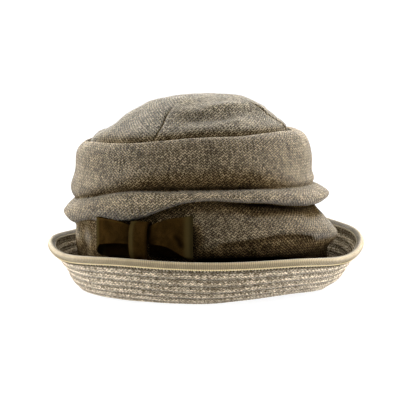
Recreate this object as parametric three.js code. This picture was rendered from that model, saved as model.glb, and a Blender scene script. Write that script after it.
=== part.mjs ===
// A knitted winter cloche: a four-panel dome, a draped side band in soft rolls, a turned-up brim
// with a ribbon binding, and a flat suede bow. Millimetres, +Z up, standing on its brim at z = 0.
// The length of the hat runs along X and the bow is on the -Y side, left of the middle.
import * as THREE from "three";

// Thickness of each material, and the gap that neighbouring pieces keep.
const KNIT = 2.2;
const BRIM_CLOTH = 3.0;
const RIBBON = 0.8;
const SUEDE = 1.4;
const GAP = 0.35;
const SEAM_GAP = 0.7;

// How finely the pieces are faceted.
const ROUND_STEPS = 48;
const BAND_STEPS = 30;
const BRIM_STEPS = 9;
const PANEL_STEPS = [12, 9];
const BINDING_STEPS = 6;
const BOW_STEPS = [14, 3];

// Heights of the fold lines, every 30 degrees round the hat: the front (-Y) first, then towards
// the right (+X), the back and the left.
const FOLDS = {
  rim: [125, 126.3, 127.6, 126.2, 126.2, 125.5, 124, 122, 120.8, 117.3, 119.4, 120.8],
  firstCrease: [86.3, 86, 84.7, 84.4, 81.7, 81, 79, 76.5, 74.5, 72.1, 76.2, 84.4],
  secondCrease: [77.6, 74.6, 69.3, 68.5, 65.9, 64.5, 62, 59, 54.6, 51.4, 59, 61.5],
  lowCrease: [38, 41, 39, 31, 30, 31, 32, 31, 30, 29, 31, 34],
};
const BRIM_EDGE = [31.9, 32.6, 30.4, 37.2, 42.4, 48, 43.3, 41.7, 35.3, 34.2, 31.4, 33.5];
const FOOT_HEIGHT = BRIM_CLOTH + GAP;

// The brim's front right lifts a little off what the hat stands on.
const LIFT = { height: 3.4, middle: 42, halfWidth: 48 };

// Sections of the draped band, from its foot to the hidden end of its folded top. `level` counts
// the lines above (0 rim, 1 first crease, 2 second, 3 low crease, 4 foot) and `rise` is added.
// The reaches are the section's ends on X and Y.
const BAND_ROWS = [
  // level, rise, left, right, front, back
  [4, 0, -97.2, 93.2, -85.2, 85.2],
  [3.5, 0, -102.2, 97.9, -88.6, 88.2],
  [3, 0, -102.6, 96.8, -87.4, 86.6],
  [3, 12, -104.3, 105.1, -88.4, 88.6],
  [2.3, 0, -104.2, 95.2, -84.8, 85],
  [2, -0.4, -104.1, 87.5, -84.2, 84.2],
  [2, 2.2, -108.1, 94.6, -89.2, 89],
  [1.5, 0, -113.1, 98.8, -90.6, 90.4],
  [1, -1.8, -106, 90.2, -87.8, 87.6],
  [1, 0.4, -104.2, 85.6, -82.6, 82.6],
  [1, 4, -106, 86.5, -87.4, 87.2],
  [1, 10, -107, 84.5, -88.2, 88],
  [0.5, 0, -103.3, 85.4, -85, 85],
  [0, -7.5, -102.1, 81.7, -81.8, 81.8],
  [0, -2, -98.5, 77.4, -78.6, 78.6],
  [0, 0, -95.6, 69.2, -75.6, 75.6],
  [0, -1.9, -95.4, 67.6, -72.9, 72.9],
  [0, -6, -95, 67, -72, 72],
  [0, -13, -95, 66.8, -71.6, 71.6],
];

// Soft dents and bulges of the band: where their middle is, how far they spread, and how far
// they push the cloth out (or in, where negative). They fade where the top turns in, between
// these shares of the rows.
const BAND_DENTS_FADE = { wallEnds: 0.7, turnedIn: 0.82 };
const BAND_DENTS = [
  // azimuth, height, spread in degrees, spread in height, push
  [48, 70, 30, 4.5, -3.0],
  [44, 62, 30, 4.5, 1.6],
  [-44, 63, 16, 6.5, -4],
  [-64, 44, 9, 12.0, -2.0],
  [20, 105, 40, 10.0, -1.6],
  [-50, 103, 26, 11.0, 1.6],
  [150, 104, 30, 12.0, 1.8],
  [205, 62, 26, 9.0, -2.0],
];

// Sections of the dome above the rim. `share` goes from the rim (0) to the top (1).
const DOME_TOP = 154.6;
const DOME_APEX_X = -1.5;
const DOME_ROWS = [
  // share, rise, left, right, front, back
  [0, -12.5, -93.9, 65.7, -70.5, 70.5],
  [0, -4, -93.8, 65.6, -70.4, 70.4],
  [0.15, 0, -85.4, 63.75, -65.15, 64.6],
  [0.35, 0, -73.81, 57.18, -58.55, 58.98],
  [0.55, 0, -64.83, 50.44, -50.97, 51.46],
  [0.75, 0, -50.9, 41.35, -41.85, 41.72],
  [0.88, 0, -38.17, 33.45, -33.08, 31.88],
  [0.96, 0, -22.6, 26.4, -22, 21.25],
];
const CROWN_SQUARENESS = 2.12;
// The seams between the panels: where each leaves the rim, and how far it turns on its way up.
const SEAMS = [
  // azimuth, turn
  [-16, -14],
  [85, -42],
  [164, -14],
  [254, -14],
];
const DOME_DENTS = [
  // azimuth, share, spread in degrees, spread in share, rise
  [18, 0.5, 26, 0.1, -2.6],
  [20, 0.72, 34, 0.09, 1.6],
  [-60, 0.55, 24, 0.16, -1.4],
  [130, 0.5, 28, 0.16, -2.0],
  [215, 0.6, 30, 0.14, -2.2],
];

// Sections of the brim's outer face. `share` is the part of the edge's height.
const BRIM_ROWS = [
  // share, left, right, front, back, squareness
  [0, -94, 90, -82, 82, 2],
  [0, -100, 96, -88, 88, 2],
  [0.07, -102.22, 98.86, -93.6, 93.6, 2.04],
  [0.25, -107.64, 107.99, -99.2, 99.2, 2.1],
  [0.49, -111.72, 113.46, -103.4, 103.4, 2.16],
  [0.74, -116.8, 117.03, -106.8, 106.8, 2.2],
  [1, -123.2, 123.35, -109.6, 109.6, 2.24],
];
const BINDING_LEG = 2.6;

// The bow lies on an upright bed, its knot at this azimuth.
const BOW_BED = { left: -105.2, right: 95.8, front: -88.8, back: 88.8 };
const BOW_AZIMUTH = -24.4;
const LEFT_LOOP_ROWS = [
  // along, out from the bed, low, high
  [4.5, 1.2, 36, 57.8],
  [16, 1.3, 35.5, 60.4],
  [31, 1.4, 34.5, 62.5],
  [38.2, 3.2, 34.5, 63.6],
  [39.2, 6.4, 37, 64],
  [34, 9.6, 43.5, 64.2],
  [20, 11.2, 45.9, 63.8],
  [4.5, 7.2, 45.7, 59.2],
];
const RIGHT_LOOP_ROWS = [
  [4.5, 1.2, 37, 57.6],
  [15, 1.3, 36.5, 61],
  [29, 1.4, 35.5, 65.5],
  [35.6, 3.4, 35, 67.8],
  [36.6, 6.4, 36, 68.6],
  [31.5, 9.6, 37.5, 68],
  [19, 11.2, 45.6, 65.8],
  [4.5, 7.2, 46.6, 59.2],
];
const KNOT_ROWS = [
  // height, out from the bed
  [59.4, 1.3],
  [62.2, 4.2],
  [62.3, 9],
  [58, 12.6],
  [48, 13.6],
  [39, 12.2],
  [34.4, 8],
  [34.2, 1.3],
];
const KNOT_WIDTH = 13;

const radians = THREE.MathUtils.degToRad;

// A value that changes smoothly round the hat, read from equally spaced stations.
function around(stations, azimuth) {
  const count = stations.length;
  const place = ((((azimuth / 360) * count) % count) + count) % count;
  const from = Math.floor(place);
  const t = place - from;
  const [a, b, c, d] = [-1, 0, 1, 2].map((k) => stations[(from + k + count) % count]);
  const bend = (3 * (b - c) + d - a) * t + 2 * a - 5 * b + 4 * c - d;
  return b + 0.5 * t * (c - a + t * bend);
}

// How strongly a dent in the middle of the given spread is felt at a distance from it.
const fade = (distance, spread) => Math.exp(-((distance / spread) ** 2));

function turnBetween(a, b) {
  return ((((a - b + 180) % 360) + 360) % 360) - 180;
}

function liftAt(azimuth) {
  const off = Math.abs(turnBetween(azimuth, LIFT.middle)) / LIFT.halfWidth;
  return off < 1 ? LIFT.height * Math.cos((off * Math.PI) / 2) ** 2 : 0;
}

// A point of a rounded section that reaches from left to right and from front to back.
function onSection(left, right, front, back, azimuth, squareness, height) {
  const turn = radians(azimuth);
  const round = (value) => Math.sign(value) * Math.abs(value) ** (2 / squareness);
  return new THREE.Vector3(
    (left + right) / 2 + ((right - left) / 2) * round(Math.sin(turn)),
    (front + back) / 2 - ((back - front) / 2) * round(Math.cos(turn)),
    height,
  );
}

// A smooth curve through points, as a function of the share of its length in rows.
function smooth(points) {
  const curve = new THREE.CatmullRomCurve3(points, false, "centripetal");
  return (share) => curve.getPoint(share);
}

// Keeps each azimuth's curve, because many points are read from it.
function remembered(make) {
  const kept = new Map();
  return (azimuth) => {
    if (!kept.has(azimuth)) kept.set(azimuth, make(azimuth));
    return kept.get(azimuth);
  };
}

function bandLine(azimuth) {
  const levels = Object.values(FOLDS).map((stations) => around(stations, azimuth));
  levels.push(FOOT_HEIGHT + liftAt(azimuth));
  const points = BAND_ROWS.map(([level, rise, left, right, front, back]) => {
    const upper = Math.min(Math.floor(level), levels.length - 2);
    const height = THREE.MathUtils.lerp(levels[upper], levels[upper + 1], level - upper) + rise;
    return onSection(left, right, front, back, azimuth, CROWN_SQUARENESS, height);
  });
  return smooth(points);
}

const bandCurve = remembered(bandLine);

function bandSurface(azimuth, share) {
  const point = bandCurve(azimuth)(share);
  let push = 0;
  const { wallEnds, turnedIn } = BAND_DENTS_FADE;
  const onWall = 1 - THREE.MathUtils.smoothstep(share, wallEnds, turnedIn);
  for (const [middle, height, spread, tall, out] of BAND_DENTS)
    push += out * fade(turnBetween(azimuth, middle), spread) * fade(point.z - height, tall);
  const outward = new THREE.Vector3(Math.sin(radians(azimuth)), -Math.cos(radians(azimuth)), 0);
  return point.addScaledVector(outward, push * onWall);
}

const domeApex = () => new THREE.Vector3(DOME_APEX_X, 0, DOME_TOP);

function domeLine(azimuth) {
  const rim = around(FOLDS.rim, azimuth);
  const points = DOME_ROWS.map(([share, rise, left, right, front, back]) => {
    const height = THREE.MathUtils.lerp(rim, DOME_TOP, share) + rise;
    return onSection(left, right, front, back, azimuth, CROWN_SQUARENESS, height);
  });
  return smooth([...points, domeApex()]);
}

const domeCurve = remembered(domeLine);

function domeSurface(azimuth, share) {
  const point = domeCurve(azimuth)(share);
  const rim = around(FOLDS.rim, azimuth);
  const climbed = (point.z - rim) / (DOME_TOP - rim);
  for (const [middle, at, spread, tall, rise] of DOME_DENTS)
    point.z += rise * fade(turnBetween(azimuth, middle), spread) * fade(climbed - at, tall);
  return point;
}

function brimLine(azimuth) {
  const edge = around(BRIM_EDGE, azimuth);
  const points = BRIM_ROWS.map(([share, left, right, front, back, squareness]) => {
    const height = edge * share + liftAt(azimuth) * (1 - share);
    return onSection(left, right, front, back, azimuth, squareness, height);
  });
  // The face that the hat stands on stays flat, so the curve starts at its outer end.
  const wall = smooth(points.slice(1));
  const flatShare = 1 / BRIM_STEPS;
  return (share) =>
    share < flatShare
      ? points[0].clone().lerp(points[1], share / flatShare)
      : wall((share - flatShare) / (1 - flatShare));
}

const brimCurve = remembered(brimLine);
const brimSurface = (azimuth, share) => brimCurve(azimuth)(share);

// The unit normal of a surface, on the side that the cloth shows.
const NORMAL_STEP = { degrees: 0.5, share: 0.004 };
function normalOf(surface, azimuth, share) {
  const low = Math.max(share - NORMAL_STEP.share, 0);
  const high = Math.min(share + NORMAL_STEP.share, 1);
  const [before, after] = [azimuth - NORMAL_STEP.degrees, azimuth + NORMAL_STEP.degrees];
  const alongSurface = surface(after, share).sub(surface(before, share));
  const acrossSurface = surface(azimuth, high).sub(surface(azimuth, low));
  return alongSurface.cross(acrossSurface).normalize();
}

// A closed thin solid between two faces, each a grid of points. Where the grid goes right
// round the hat its last column is its first.
function sheetBetween(outer, inner, columns, rows, goesRound = false) {
  const corners = [];
  const known = new Map();
  const triangles = [];
  const lastColumn = goesRound ? columns : columns + 1;
  const cornerAt = (face, i, j) => {
    const point = face(goesRound ? i % lastColumn : i, j);
    const key = [point.x, point.y, point.z].map((value) => value.toFixed(4)).join();
    if (!known.has(key)) {
      known.set(key, corners.length / 3);
      corners.push(point.x, point.y, point.z);
    }
    return known.get(key);
  };
  const addTriangle = (a, b, c) => {
    if (a !== b && b !== c && c !== a) triangles.push(a, b, c);
  };
  const addQuad = (a, b, c, d) => {
    addTriangle(a, b, c);
    addTriangle(a, c, d);
  };
  for (let i = 0; i < columns; i++) {
    for (let j = 0; j < rows; j++) {
      const front = [[i, j], [i + 1, j], [i + 1, j + 1], [i, j + 1]];
      addQuad(...front.map(([u, v]) => cornerAt(outer, u, v)));
      addQuad(...front.reverse().map(([u, v]) => cornerAt(inner, u, v)));
    }
    const low = [cornerAt(inner, i, 0), cornerAt(inner, i + 1, 0)];
    addQuad(...low, cornerAt(outer, i + 1, 0), cornerAt(outer, i, 0));
    const high = [cornerAt(outer, i, rows), cornerAt(outer, i + 1, rows)];
    addQuad(...high, cornerAt(inner, i + 1, rows), cornerAt(inner, i, rows));
  }
  if (!goesRound)
    for (let j = 0; j < rows; j++) {
      const start = [cornerAt(outer, 0, j), cornerAt(outer, 0, j + 1)];
      addQuad(...start, cornerAt(inner, 0, j + 1), cornerAt(inner, 0, j));
      const end = [cornerAt(inner, columns, j), cornerAt(inner, columns, j + 1)];
      addQuad(...end, cornerAt(outer, columns, j + 1), cornerAt(outer, columns, j));
    }
  const geometry = new THREE.BufferGeometry();
  geometry.setAttribute("position", new THREE.Float32BufferAttribute(corners, 3));
  geometry.setIndex(triangles);
  geometry.computeVertexNormals();
  return geometry;
}

// A cloth wall that goes right round the hat, its thickness laid inwards from its shown face.
function wallAllRound(surface, thickness, rows) {
  const azimuthOf = (i) => (360 * i) / ROUND_STEPS;
  const outer = (i, j) => surface(azimuthOf(i), j / rows);
  const inner = (i, j) =>
    outer(i, j).addScaledVector(normalOf(surface, azimuthOf(i), j / rows), -thickness);
  return sheetBetween(outer, inner, ROUND_STEPS, rows, true);
}

function crownPanel(index) {
  const [from, turnFrom] = SEAMS[index];
  const [next, turnTo] = SEAMS[(index + 1) % SEAMS.length];
  const to = next + (next < from ? 360 : 0);
  const [columns, rows] = PANEL_STEPS;
  const middle = radians((from + to) / 2 + (turnFrom + turnTo) / 4);
  const apart = new THREE.Vector3(Math.sin(middle), -Math.cos(middle), 0);
  apart.multiplyScalar((SEAM_GAP / 2) * Math.SQRT2);
  const azimuthOf = (i, j) => {
    const climbed = j / rows;
    return THREE.MathUtils.lerp(from + turnFrom * climbed, to + turnTo * climbed, i / columns);
  };
  const outer = (i, j) => {
    const shown = j < rows ? domeSurface(azimuthOf(i, j), j / rows) : domeApex();
    return shown.add(apart);
  };
  const inner = (i, j) => {
    const up = new THREE.Vector3(0, 0, 1);
    if (j < rows) up.copy(normalOf(domeSurface, azimuthOf(i, j), j / rows));
    return outer(i, j).addScaledVector(up, -KNIT);
  };
  return sheetBetween(outer, inner, columns, rows);
}

// The ribbon runs up the outer face, over the brim's edge and down the inner face.
function binding() {
  const edge = (azimuth) => {
    const top = brimSurface(azimuth, 1);
    const up = top.clone().sub(brimSurface(azimuth, 0.985)).normalize();
    const out = normalOf(brimSurface, azimuth, 1);
    return { middle: top.addScaledVector(out, -BRIM_CLOTH / 2), up, out };
  };
  const azimuthOf = (i) => (360 * i) / ROUND_STEPS;
  const face = (radius) => (i, j) => {
    const { middle, up, out } = edge(azimuthOf(i));
    if (j === 0 || j === BINDING_STEPS) {
      const side = j === 0 ? radius : -radius;
      return middle.addScaledVector(out, side).addScaledVector(up, -BINDING_LEG);
    }
    const turn = (Math.PI * (j - 1)) / (BINDING_STEPS - 2);
    const over = middle.addScaledVector(out, radius * Math.cos(turn));
    return over.addScaledVector(up, radius * Math.sin(turn));
  };
  const innerRadius = BRIM_CLOTH / 2 + GAP;
  const [outer, inner] = [face(innerRadius + RIBBON), face(innerRadius)];
  return sheetBetween(outer, inner, ROUND_STEPS, BINDING_STEPS, true);
}

// A place on the bow: along its bed from the knot, out from the bed, and its height.
function onBow(along, out, height) {
  const { left, right, front, back } = BOW_BED;
  const middle = radians(BOW_AZIMUTH);
  const speed = Math.hypot(((right - left) / 2) * Math.cos(middle), back * Math.sin(middle));
  const azimuth = BOW_AZIMUTH + THREE.MathUtils.radToDeg(along / speed);
  const bed = onSection(left, right, front, back, azimuth, 2, height);
  const turn = radians(azimuth);
  const outward = new THREE.Vector3(
    Math.sin(turn) / ((right - left) / 2),
    -Math.cos(turn) / back,
    0,
  );
  return bed.addScaledVector(outward.normalize(), out);
}

// One loop of the bow: a ribbon that leaves the knot along the hat, folds back and returns.
function bowLoop(side, loopRows) {
  const [columns, rows] = BOW_STEPS;
  const path = smooth(loopRows.map(([along, out]) => new THREE.Vector3(along, out, 0)));
  const edges = smooth(loopRows.map(([, , low, high]) => new THREE.Vector3(low, high, 0)));
  const face = (offset) => (i, j) => {
    const share = i / columns;
    const place = path(share);
    const ahead = path(Math.min(share + 0.01, 1)).sub(path(Math.max(share - 0.01, 0))).normalize();
    const along = place.x + ahead.y * offset;
    const out = place.y - ahead.x * offset;
    const { x: low, y: high } = edges(share);
    return onBow(side * along, out, THREE.MathUtils.lerp(low, high, j / rows));
  };
  const faces = [face(SUEDE / 2), face(-SUEDE / 2)];
  if (side > 0) faces.reverse();
  return sheetBetween(...faces, columns, rows);
}

function bowKnot() {
  const [columns, rows] = BOW_STEPS;
  const path = smooth(KNOT_ROWS.map(([height, out]) => new THREE.Vector3(out, height, 0)));
  const face = (offset) => (i, j) => {
    const share = i / columns;
    const place = path(share);
    const ahead = path(Math.min(share + 0.01, 1)).sub(path(Math.max(share - 0.01, 0))).normalize();
    const along = KNOT_WIDTH * (j / rows - 0.5);
    return onBow(along, place.x - ahead.y * offset, place.y + ahead.x * offset);
  };
  return sheetBetween(face(SUEDE / 2), face(-SUEDE / 2), columns, rows);
}

function finish(color, roughness) {
  return new THREE.MeshStandardMaterial({ color, roughness, metalness: 0 });
}

function piece(name, geometry, material) {
  const mesh = new THREE.Mesh(geometry, material);
  mesh.name = name;
  return mesh;
}

const crownKnit = () => finish(0x7d7263, 0.95);
const brimKnit = () => finish(0x968a76, 0.95);
const ribbonFinish = () => finish(0x8c7d60, 0.8);
const suedeFinish = () => finish(0x2b1d0c, 0.9);

const hat = new THREE.Group();
for (let index = 0; index < 4; index++)
  hat.add(piece(`crown_panel_${index + 1}`, crownPanel(index), crownKnit()));
hat.add(piece("draped_band", wallAllRound(bandSurface, KNIT, BAND_STEPS), crownKnit()));
hat.add(piece("brim", wallAllRound(brimSurface, BRIM_CLOTH, BRIM_STEPS), brimKnit()));
hat.add(piece("brim_binding", binding(), ribbonFinish()));
hat.add(piece("bow_left_loop", bowLoop(-1, LEFT_LOOP_ROWS), suedeFinish()));
hat.add(piece("bow_right_loop", bowLoop(1, RIGHT_LOOP_ROWS), suedeFinish()));
hat.add(piece("bow_knot", bowKnot(), suedeFinish()));

export default hat;
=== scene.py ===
import math

import bpy
import numpy as np
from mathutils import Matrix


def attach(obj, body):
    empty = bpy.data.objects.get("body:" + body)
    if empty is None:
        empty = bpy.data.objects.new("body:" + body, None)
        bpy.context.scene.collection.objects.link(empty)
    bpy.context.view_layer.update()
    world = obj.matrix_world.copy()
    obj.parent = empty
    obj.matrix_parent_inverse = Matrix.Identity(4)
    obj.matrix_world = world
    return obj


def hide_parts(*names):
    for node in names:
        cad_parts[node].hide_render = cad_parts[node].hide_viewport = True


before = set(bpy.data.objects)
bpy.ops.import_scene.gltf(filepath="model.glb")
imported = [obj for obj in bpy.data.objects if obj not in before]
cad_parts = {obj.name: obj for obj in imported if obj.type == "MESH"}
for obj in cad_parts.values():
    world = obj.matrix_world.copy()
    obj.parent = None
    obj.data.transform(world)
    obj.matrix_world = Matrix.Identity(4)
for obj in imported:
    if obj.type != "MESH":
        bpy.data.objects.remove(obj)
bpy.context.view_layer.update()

# The winter hat's looks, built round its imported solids. Shapes are worked out in millimetres and
# become metres when a mesh is made. Azimuths are in degrees: 0 is the front, 90 the right.
MM = 0.001

# Sizes that the hat's solids also have
# A few of the tables follow the photograph up to 2 mm closer than the solids do.
# First the thickness of each cloth, and the gap between neighbouring pieces.
KNIT = 2.2
BRIM_CLOTH = 3.0
RIBBON = 0.8
SUEDE = 1.4
GAP = 0.35
FOOT_HEIGHT = BRIM_CLOTH + GAP
# Heights of the fold lines, every 30 degrees round the hat.
FOLDS = {
    "rim": [125, 126.3, 127.6, 126.2, 126.2, 125.5, 123, 119.5, 118, 117.3, 119.4, 120.8],
    "first_crease": [86.3, 86, 84.7, 84.4, 81.7, 81, 79, 76.5, 74.5, 72.1, 76.2, 84.4],
    "second_crease": [77.6, 74.6, 69.3, 68.5, 65.9, 64.5, 62, 59, 54.6, 51.4, 59, 61.5],
    "low_crease": [38, 41, 39, 31, 30, 31, 32, 31, 30, 29, 31, 34],
}
BRIM_EDGE = [31.9, 32.6, 30.4, 38.6, 42.4, 48, 43.3, 41.7, 35.3, 35.6, 31.4, 33.5]
LIFT = {"height": 3.4, "middle": 42, "half_width": 48}
# A level counts down from 0 at the rim through the creases to 4 at the foot.
BAND_ROWS = np.array([
    # level, rise, left, right, front, back
    [4, 0, -97.2, 93.2, -85.2, 85.2],
    [3.5, 0, -102.2, 97.9, -88.6, 88.2],
    [3, 0, -102.6, 96.8, -87.4, 86.6],
    [3, 12, -104.3, 105.1, -88.4, 88.6],
    [2.3, 0, -104.2, 95.2, -84.8, 85],
    [2, -0.4, -104.1, 87.5, -84.2, 84.2],
    [2, 2.2, -108.1, 94.6, -89.2, 89],
    [1.5, 0, -113.1, 98.8, -90.6, 90.4],
    [1, -1.8, -106, 90.2, -87.8, 87.6],
    [1, 0.4, -104.2, 85.6, -82.6, 82.6],
    [1, 4, -106, 86.5, -87.4, 87.2],
    [1, 10, -107, 84.5, -88.2, 88],
    [0.5, 0, -103.3, 85.4, -85, 85],
    [0, -7.5, -102.1, 81.7, -81.8, 81.8],
    [0, -2, -98.5, 77.4, -78.6, 78.6],
    [0, 0, -95.6, 69.2, -75.6, 75.6],
    [0, -1.9, -95.4, 67.6, -72.9, 72.9],
    [0, -6, -95, 67, -72, 72],
    [0, -13, -95, 66.8, -71.6, 71.6],
])
BAND_DENTS_FADE = (0.7, 0.82)
BAND_DENTS = [
    # azimuth, height, spread in degrees, spread in height, push
    [48, 70, 30, 4.5, -3.0],
    [44, 62, 30, 4.5, 1.6],
    [-44, 63, 16, 6.5, -4],
    [-64, 44, 9, 12.0, -2.0],
    [20, 105, 40, 10.0, -1.6],
    [-50, 103, 26, 11.0, 1.6],
    [150, 104, 30, 12.0, 1.8],
    [205, 62, 26, 9.0, -2.0],
]
CROWN_SQUARENESS = 2.12
DOME_TOP = 154.6
DOME_APEX_X = -1.5
DOME_ROWS = np.array([
    # share, rise, left, right, front, back
    [0, -12.5, -93.9, 65.7, -70.5, 70.5],
    [0, -4, -93.8, 65.6, -70.4, 70.4],
    [0.15, 0, -85.4, 63.75, -65.15, 64.6],
    [0.35, 0, -73.81, 57.18, -58.55, 58.98],
    [0.55, 0, -64.83, 50.44, -50.97, 51.46],
    [0.75, 0, -50.9, 41.35, -41.85, 41.72],
    [0.88, 0, -38.17, 33.45, -33.08, 31.88],
    [0.96, 0, -22.6, 26.4, -22, 21.25],
])
SEAMS = [(-16, -14), (85, -42), (164, -14), (254, -14)]
DOME_DENTS = [
    # azimuth, share, spread in degrees, spread in share, rise
    [18, 0.5, 26, 0.1, -2.6],
    [20, 0.72, 34, 0.09, 1.6],
    [-60, 0.55, 24, 0.16, -1.4],
    [130, 0.5, 28, 0.16, -2.0],
    [215, 0.6, 30, 0.14, -2.2],
    [245, 0.06, 26, 0.1, 3.6],
]
BRIM_ROWS = np.array([
    # share, left, right, front, back, squareness
    [0, -94, 90, -82, 82, 2],
    [0, -100, 96, -88, 88, 2],
    [0.07, -102.22, 98.86, -93.6, 93.6, 2.04],
    [0.25, -107.64, 107.99, -99.2, 99.2, 2.1],
    [0.49, -111.72, 113.46, -103.4, 103.4, 2.16],
    [0.74, -117.8, 118.5, -106.8, 106.8, 2.2],
    [1, -124.4, 125.1, -109.6, 109.6, 2.24],
])
# The share of the brim's rows that is the flat ring under the hat.
BRIM_FLAT_SHARE = 1 / 9
BINDING_LEG = 2.6
BOW_BED = {"left": -105.2, "right": 95.8, "front": -88.8, "back": 88.8}
BOW_AZIMUTH = -24.4
LOOP_ROWS = {
    # along, out from the bed, low, high
    -1: np.array([
        [4.5, 1.2, 36, 57.8],
        [16, 1.3, 35.5, 60.4],
        [31, 1.4, 34.5, 62.5],
        [38.2, 3.2, 34.5, 63.6],
        [39.2, 6.4, 37, 64],
        [34, 9.6, 43.5, 64.2],
        [20, 11.2, 45.9, 63.8],
        [4.5, 7.2, 45.7, 59.2],
    ]),
    1: np.array([
        [4.5, 1.2, 37, 57.6],
        [15, 1.3, 36.5, 61],
        [29, 1.4, 35.5, 65.5],
        [35.6, 3.4, 35, 67.8],
        [36.6, 6.4, 36, 68.6],
        [31.5, 9.6, 37.5, 68],
        [19, 11.2, 45.6, 65.8],
        [4.5, 7.2, 46.6, 59.2],
    ]),
}
KNOT_ROWS = np.array([
    # height, out from the bed
    [59.4, 1.3],
    [62.2, 4.2],
    [62.3, 9],
    [58, 12.6],
    [48, 13.6],
    [39, 12.2],
    [34.4, 8],
    [34.2, 1.3],
])
KNOT_WIDTH = 13

# Shading and small folds of the cloth
BAND_CREASES = [
    # share of the band's rows, painted darkness, fading to the left, fading to the right,
    # reach below, reach above at the sides, reach above in front
    [5 / 18, 1.0, 0.4, 0, 8.0, 1.0, 1.0],
    [9 / 18, 0.9, 0.1, 0.7, 0.9, 3.0, 15.0],
]
# How much lighter the round of a roll is painted than its creases.
ROLL_LIGHT = 0.5
# Where the creases' painted shade fades, from left to right.
FAR_LEFT_FADE = (-75, -35)
LEFT_FADE = (-10, 40)
RIGHT_FADE = (25, 75)
# Heights between which the gutter behind the brim goes from painted shade to none, and the azimuth
# where it is open and its painted shade lighter.
GUTTER_HEIGHTS = (33, 48)
OPEN_GUTTER = {"azimuth": -64, "spread": 16, "light": 0.6}
# Painted shade of the front and painted light of the upper sides, with the heights between which
# they change.
FRONT_SHADE = {"low": 0.22, "high": 0.16, "heights": (72, 84)}
UPPER_SIDE_LIGHT = 0.22
UPPER_SIDE_HEIGHTS = (84, 92)
# The share of the band's rows at which its rim folds over, and how much painted light that fold
# gets.
RIM_SHARE = 0.825
RIM_WIDTH = 0.02
RIM_LIGHT = 0.7
# Shares of the rows between which the band gets painted shade under the dome.
UNDER_DOME_SHARES = (0.88, 0.95)
UNDER_DOME_SHADE = 0.3
# The shade behind the bow: its middle height, and where it ends up or down and sideways.
BEHIND_BOW = {"height": 44, "heights": (14, 20), "degrees": (20, 25), "shade": 1.1}
# Painted shade of the crown's inside, and of the faces inside the bow's loops.
INSIDE_SHADE = 0.3
LOOP_SHADE = 0.85
# How much of its colour knit or ribbon loses under the deepest painted shade.
PAINTED_SHADING_LOSS = 0.85
# Small folds where the front of the hat shows them: rise, width, painted darkness (below 0 painted
# light), and a line of points across and up, as the camera sees them at the scale of the hat's
# middle.
DOME_FOLDS = [
    (1.4, 3.6, 0, [
        (-22.0, 139.6), (-3.6, 140.0), (4.4, 143.2), (17.2, 145.4), (33.2, 146.2),
        (45.2, 142.8),
    ]),
    (-1.4, 4.2, 0.1, [
        (-17.2, 131.2), (-3.6, 132.4), (5.2, 135.2), (14.8, 137.8), (24.4, 140.4),
        (35.6, 140.8),
    ]),
    (1.0, 4.6, 0, [(-12.4, 126.8), (4.4, 125.6), (16.4, 129.2), (27.6, 133.6)]),
    (-0.9, 3.6, 0.1, [(-14.0, 146.4), (-4.4, 148.4), (5.2, 150.4), (13.2, 150.8)]),
    (1.0, 3.6, 0, [(-44.4, 146.0), (-28.4, 148.8), (-12.4, 151.2)]),
]
BAND_FOLDS = [
    (-0.9, 4.8, 0.45, [(40.0, 61.6), (52.0, 60.8), (67.6, 60.4), (86.0, 60.4)]),
    (1.8, 4.4, 0, [(35.6, 52.4), (55.6, 54.0), (76.4, 56.4)]),
    (-2.0, 2.6, 0.7, [
        (13.2, 32.0), (31.6, 34.2), (47.6, 36.8), (57.2, 38.8), (72.4, 39.6), (84.0, 38.0),
    ]),
    (-0.8, 3.0, 0.35, [(-98.8, 50.0), (-98.8, 38.0), (-97.2, 28.0)]),
    (0.4, 4.4, 0.4, [(-92.4, 57.0), (-91.2, 50.0), (-88.4, 40.0), (-87.6, 28.0)]),
    (0.8, 5.5, 0.7, [(24.4, 28.0), (45.2, 30.4), (63.6, 32.2), (78.0, 31.6), (90.0, 29.0)]),
]
# The bow's folds are painted shades alone, without a rise.
BOW_FOLDS = [
    (0, 2.2, 0.8, [(-24.0, 40.0), (-21.2, 37.2), (-19.6, 33.2)]),
    (0, 2.2, -0.4, [(-28.0, 41.6), (-25.2, 37.2), (-23.2, 33.6)]),
    (0, 1.6, -1.0, [(-40.0, 51.6), (-42.4, 46.0), (-43.6, 40.0)]),
    (0, 1.2, -0.8, [(-84.4, 55.4), (-71.6, 53.0), (-60.8, 51.6)]),
]

# Where the hat is seen from
TARGET = np.array([-4.4, 0, 69.6])
DISTANCE = 1450
ELEVATION = math.radians(6.5)
LENS = 163.1
SENSOR_WIDTH = 36
# Strengths of the light from the surroundings.
LIGHT_BEHIND = 10
LIGHT_BESIDE = 18
LIGHT_FROM_RIGHT = 4
PAPER_GLOW = 0.94
AHEAD = np.array([0, math.cos(ELEVATION), -math.sin(ELEVATION)])
UPWARD = np.array([0, math.sin(ELEVATION), math.cos(ELEVATION)])
# The azimuth at which the front's painted shades are strongest.
FRONT_AZIMUTH = 8

# Sizes of the knitting and the sewing
WALE = 3.05
COURSE = 2.15
WRINKLE_PUSH = 0.9
BAND_WRINKLE_SIZE = 24
DOME_WRINKLE_SIZE = 22
RIPPLE_PUSH = 0.35
RIPPLE_SIZE = 20
SEAM_DEPTH = 0.8
SEAM_WIDTH = 1.4
SEAM_PUFF = 0.4
SEAM_PUFF_WIDTH = 1.8
SEAM_PUFF_DISTANCE = 3.6
TOP_DEPTH = 0.5
QUILT_ROWS = 6
QUILT_PITCH = 6.3
QUILT_ROW_WIDTH = 1.8
QUILT_PUFF = 0.6
FIRST_QUILT_ROW = BINDING_LEG + 3.2
STITCH_PITCH = 2.9
STITCH_LENGTH = 2.1
STITCH_DEPTH = 0.62
ROW_SHIFT = 0.37
QUILTING_THREAD_WIDTH = 0.4
EDGING_THREAD_WIDTH = 1.1
THREAD_RISE = 0.12
RIB_PITCH = 1.6
RIB_COLUMNS = 4
RIB_HEIGHT = 0.13
NOTCH_PITCH = 2.6


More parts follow.
